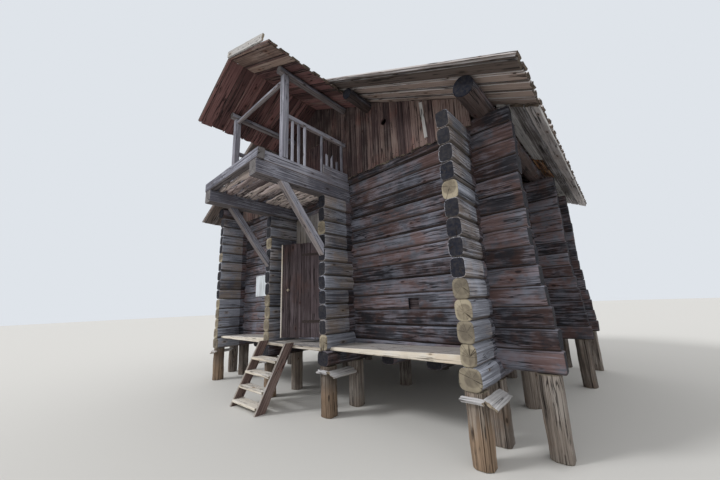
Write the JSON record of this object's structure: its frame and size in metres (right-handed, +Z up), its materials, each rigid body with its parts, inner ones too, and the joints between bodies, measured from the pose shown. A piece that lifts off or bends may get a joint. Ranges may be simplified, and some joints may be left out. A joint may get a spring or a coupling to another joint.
{
  "type": "raised log granary",
  "caption": "Log granary raised on posts, with a recessed porch, an outward door, a ladder, a gabled balcony over the porch and a board roof.",
  "frame": {"origin": "on the ground, under the middle of the whole building", "axes": "+X runs along the front to the right as seen from in front, +Y goes back into the building, +Z is up"},
  "size_m": [8.46, 8.3, 6.3135],
  "materials": {
    "old_log": "weathered grey-brown logs, unpainted",
    "post_wood": "hewn posts, weathered orange-tan",
    "grey_board": "silver-grey weathered sawn timber",
    "old_board": "red-brown sheltered boards",
    "pale_board": "pale worn planks",
    "rusty_iron": "rusty forged iron",
    "painted_board": "bare pale painted sheet"
  },
  "bodies": {
    "building": {"front_posts": "post_wood", "middle_posts": "post_wood", "back_posts": "post_wood", "wing_posts": "post_wood", "mouse_guards": "grey_board", "side_wall_right": "old_log", "side_wall_left": "old_log", "porch_wall_right": "old_log", "porch_wall_left": "old_log", "front_wall_right": "old_log", "front_wall_left": "old_log", "front_wall_upper": "old_log", "vent_block": "old_board", "middle_wall": "old_log", "back_wall": "old_log", "floor_bearers": "old_log", "front_room_floor": "pale_board", "back_room_floor": "pale_board", "porch_floor": "pale_board", "ledge_right": "pale_board", "ledge_left": "pale_board", "door_frame": "grey_board", "door_screen": "grey_board", "door_pintles": "rusty_iron", "ladder_sides": "pale_board", "ladder_treads": "pale_board", "upper_joists": "old_log", "upper_floor": "pale_board", "balcony_beams": "grey_board", "balcony_side_rails": "grey_board", "balcony_deck": "pale_board", "balcony_braces": "grey_board", "balcony_posts": "grey_board", "balcony_tie": "grey_board", "balcony_plates": "grey_board", "balcony_rails": "grey_board", "balusters": "grey_board", "toe_boards": "grey_board", "balcony_roof_right": "old_board", "balcony_roof_left": "old_board", "balcony_barge_board": "grey_board", "front_gable": "old_board", "back_gable": "old_board", "upper_door": "old_board", "roof_posts": "old_log", "eave_purlins": "old_log", "middle_purlins": "old_log", "ridge_pole": "old_log", "roof_right": "grey_board", "roof_left": "grey_board", "eave_planks_right": "grey_board", "eave_planks_left": "grey_board", "notice_board": "painted_board"},
    "door": {"door_leaf": "old_board", "door_bars": "old_board", "door_straps": "rusty_iron"}
  },
  "joints": [
    {"name": "door_hinge", "type": "hinge", "parent": "building", "child": "door", "pos_m": [0.54, -2.1663, 1.12], "axis": [0, 0, 1], "range_deg": [-30, 60]}
  ]
}
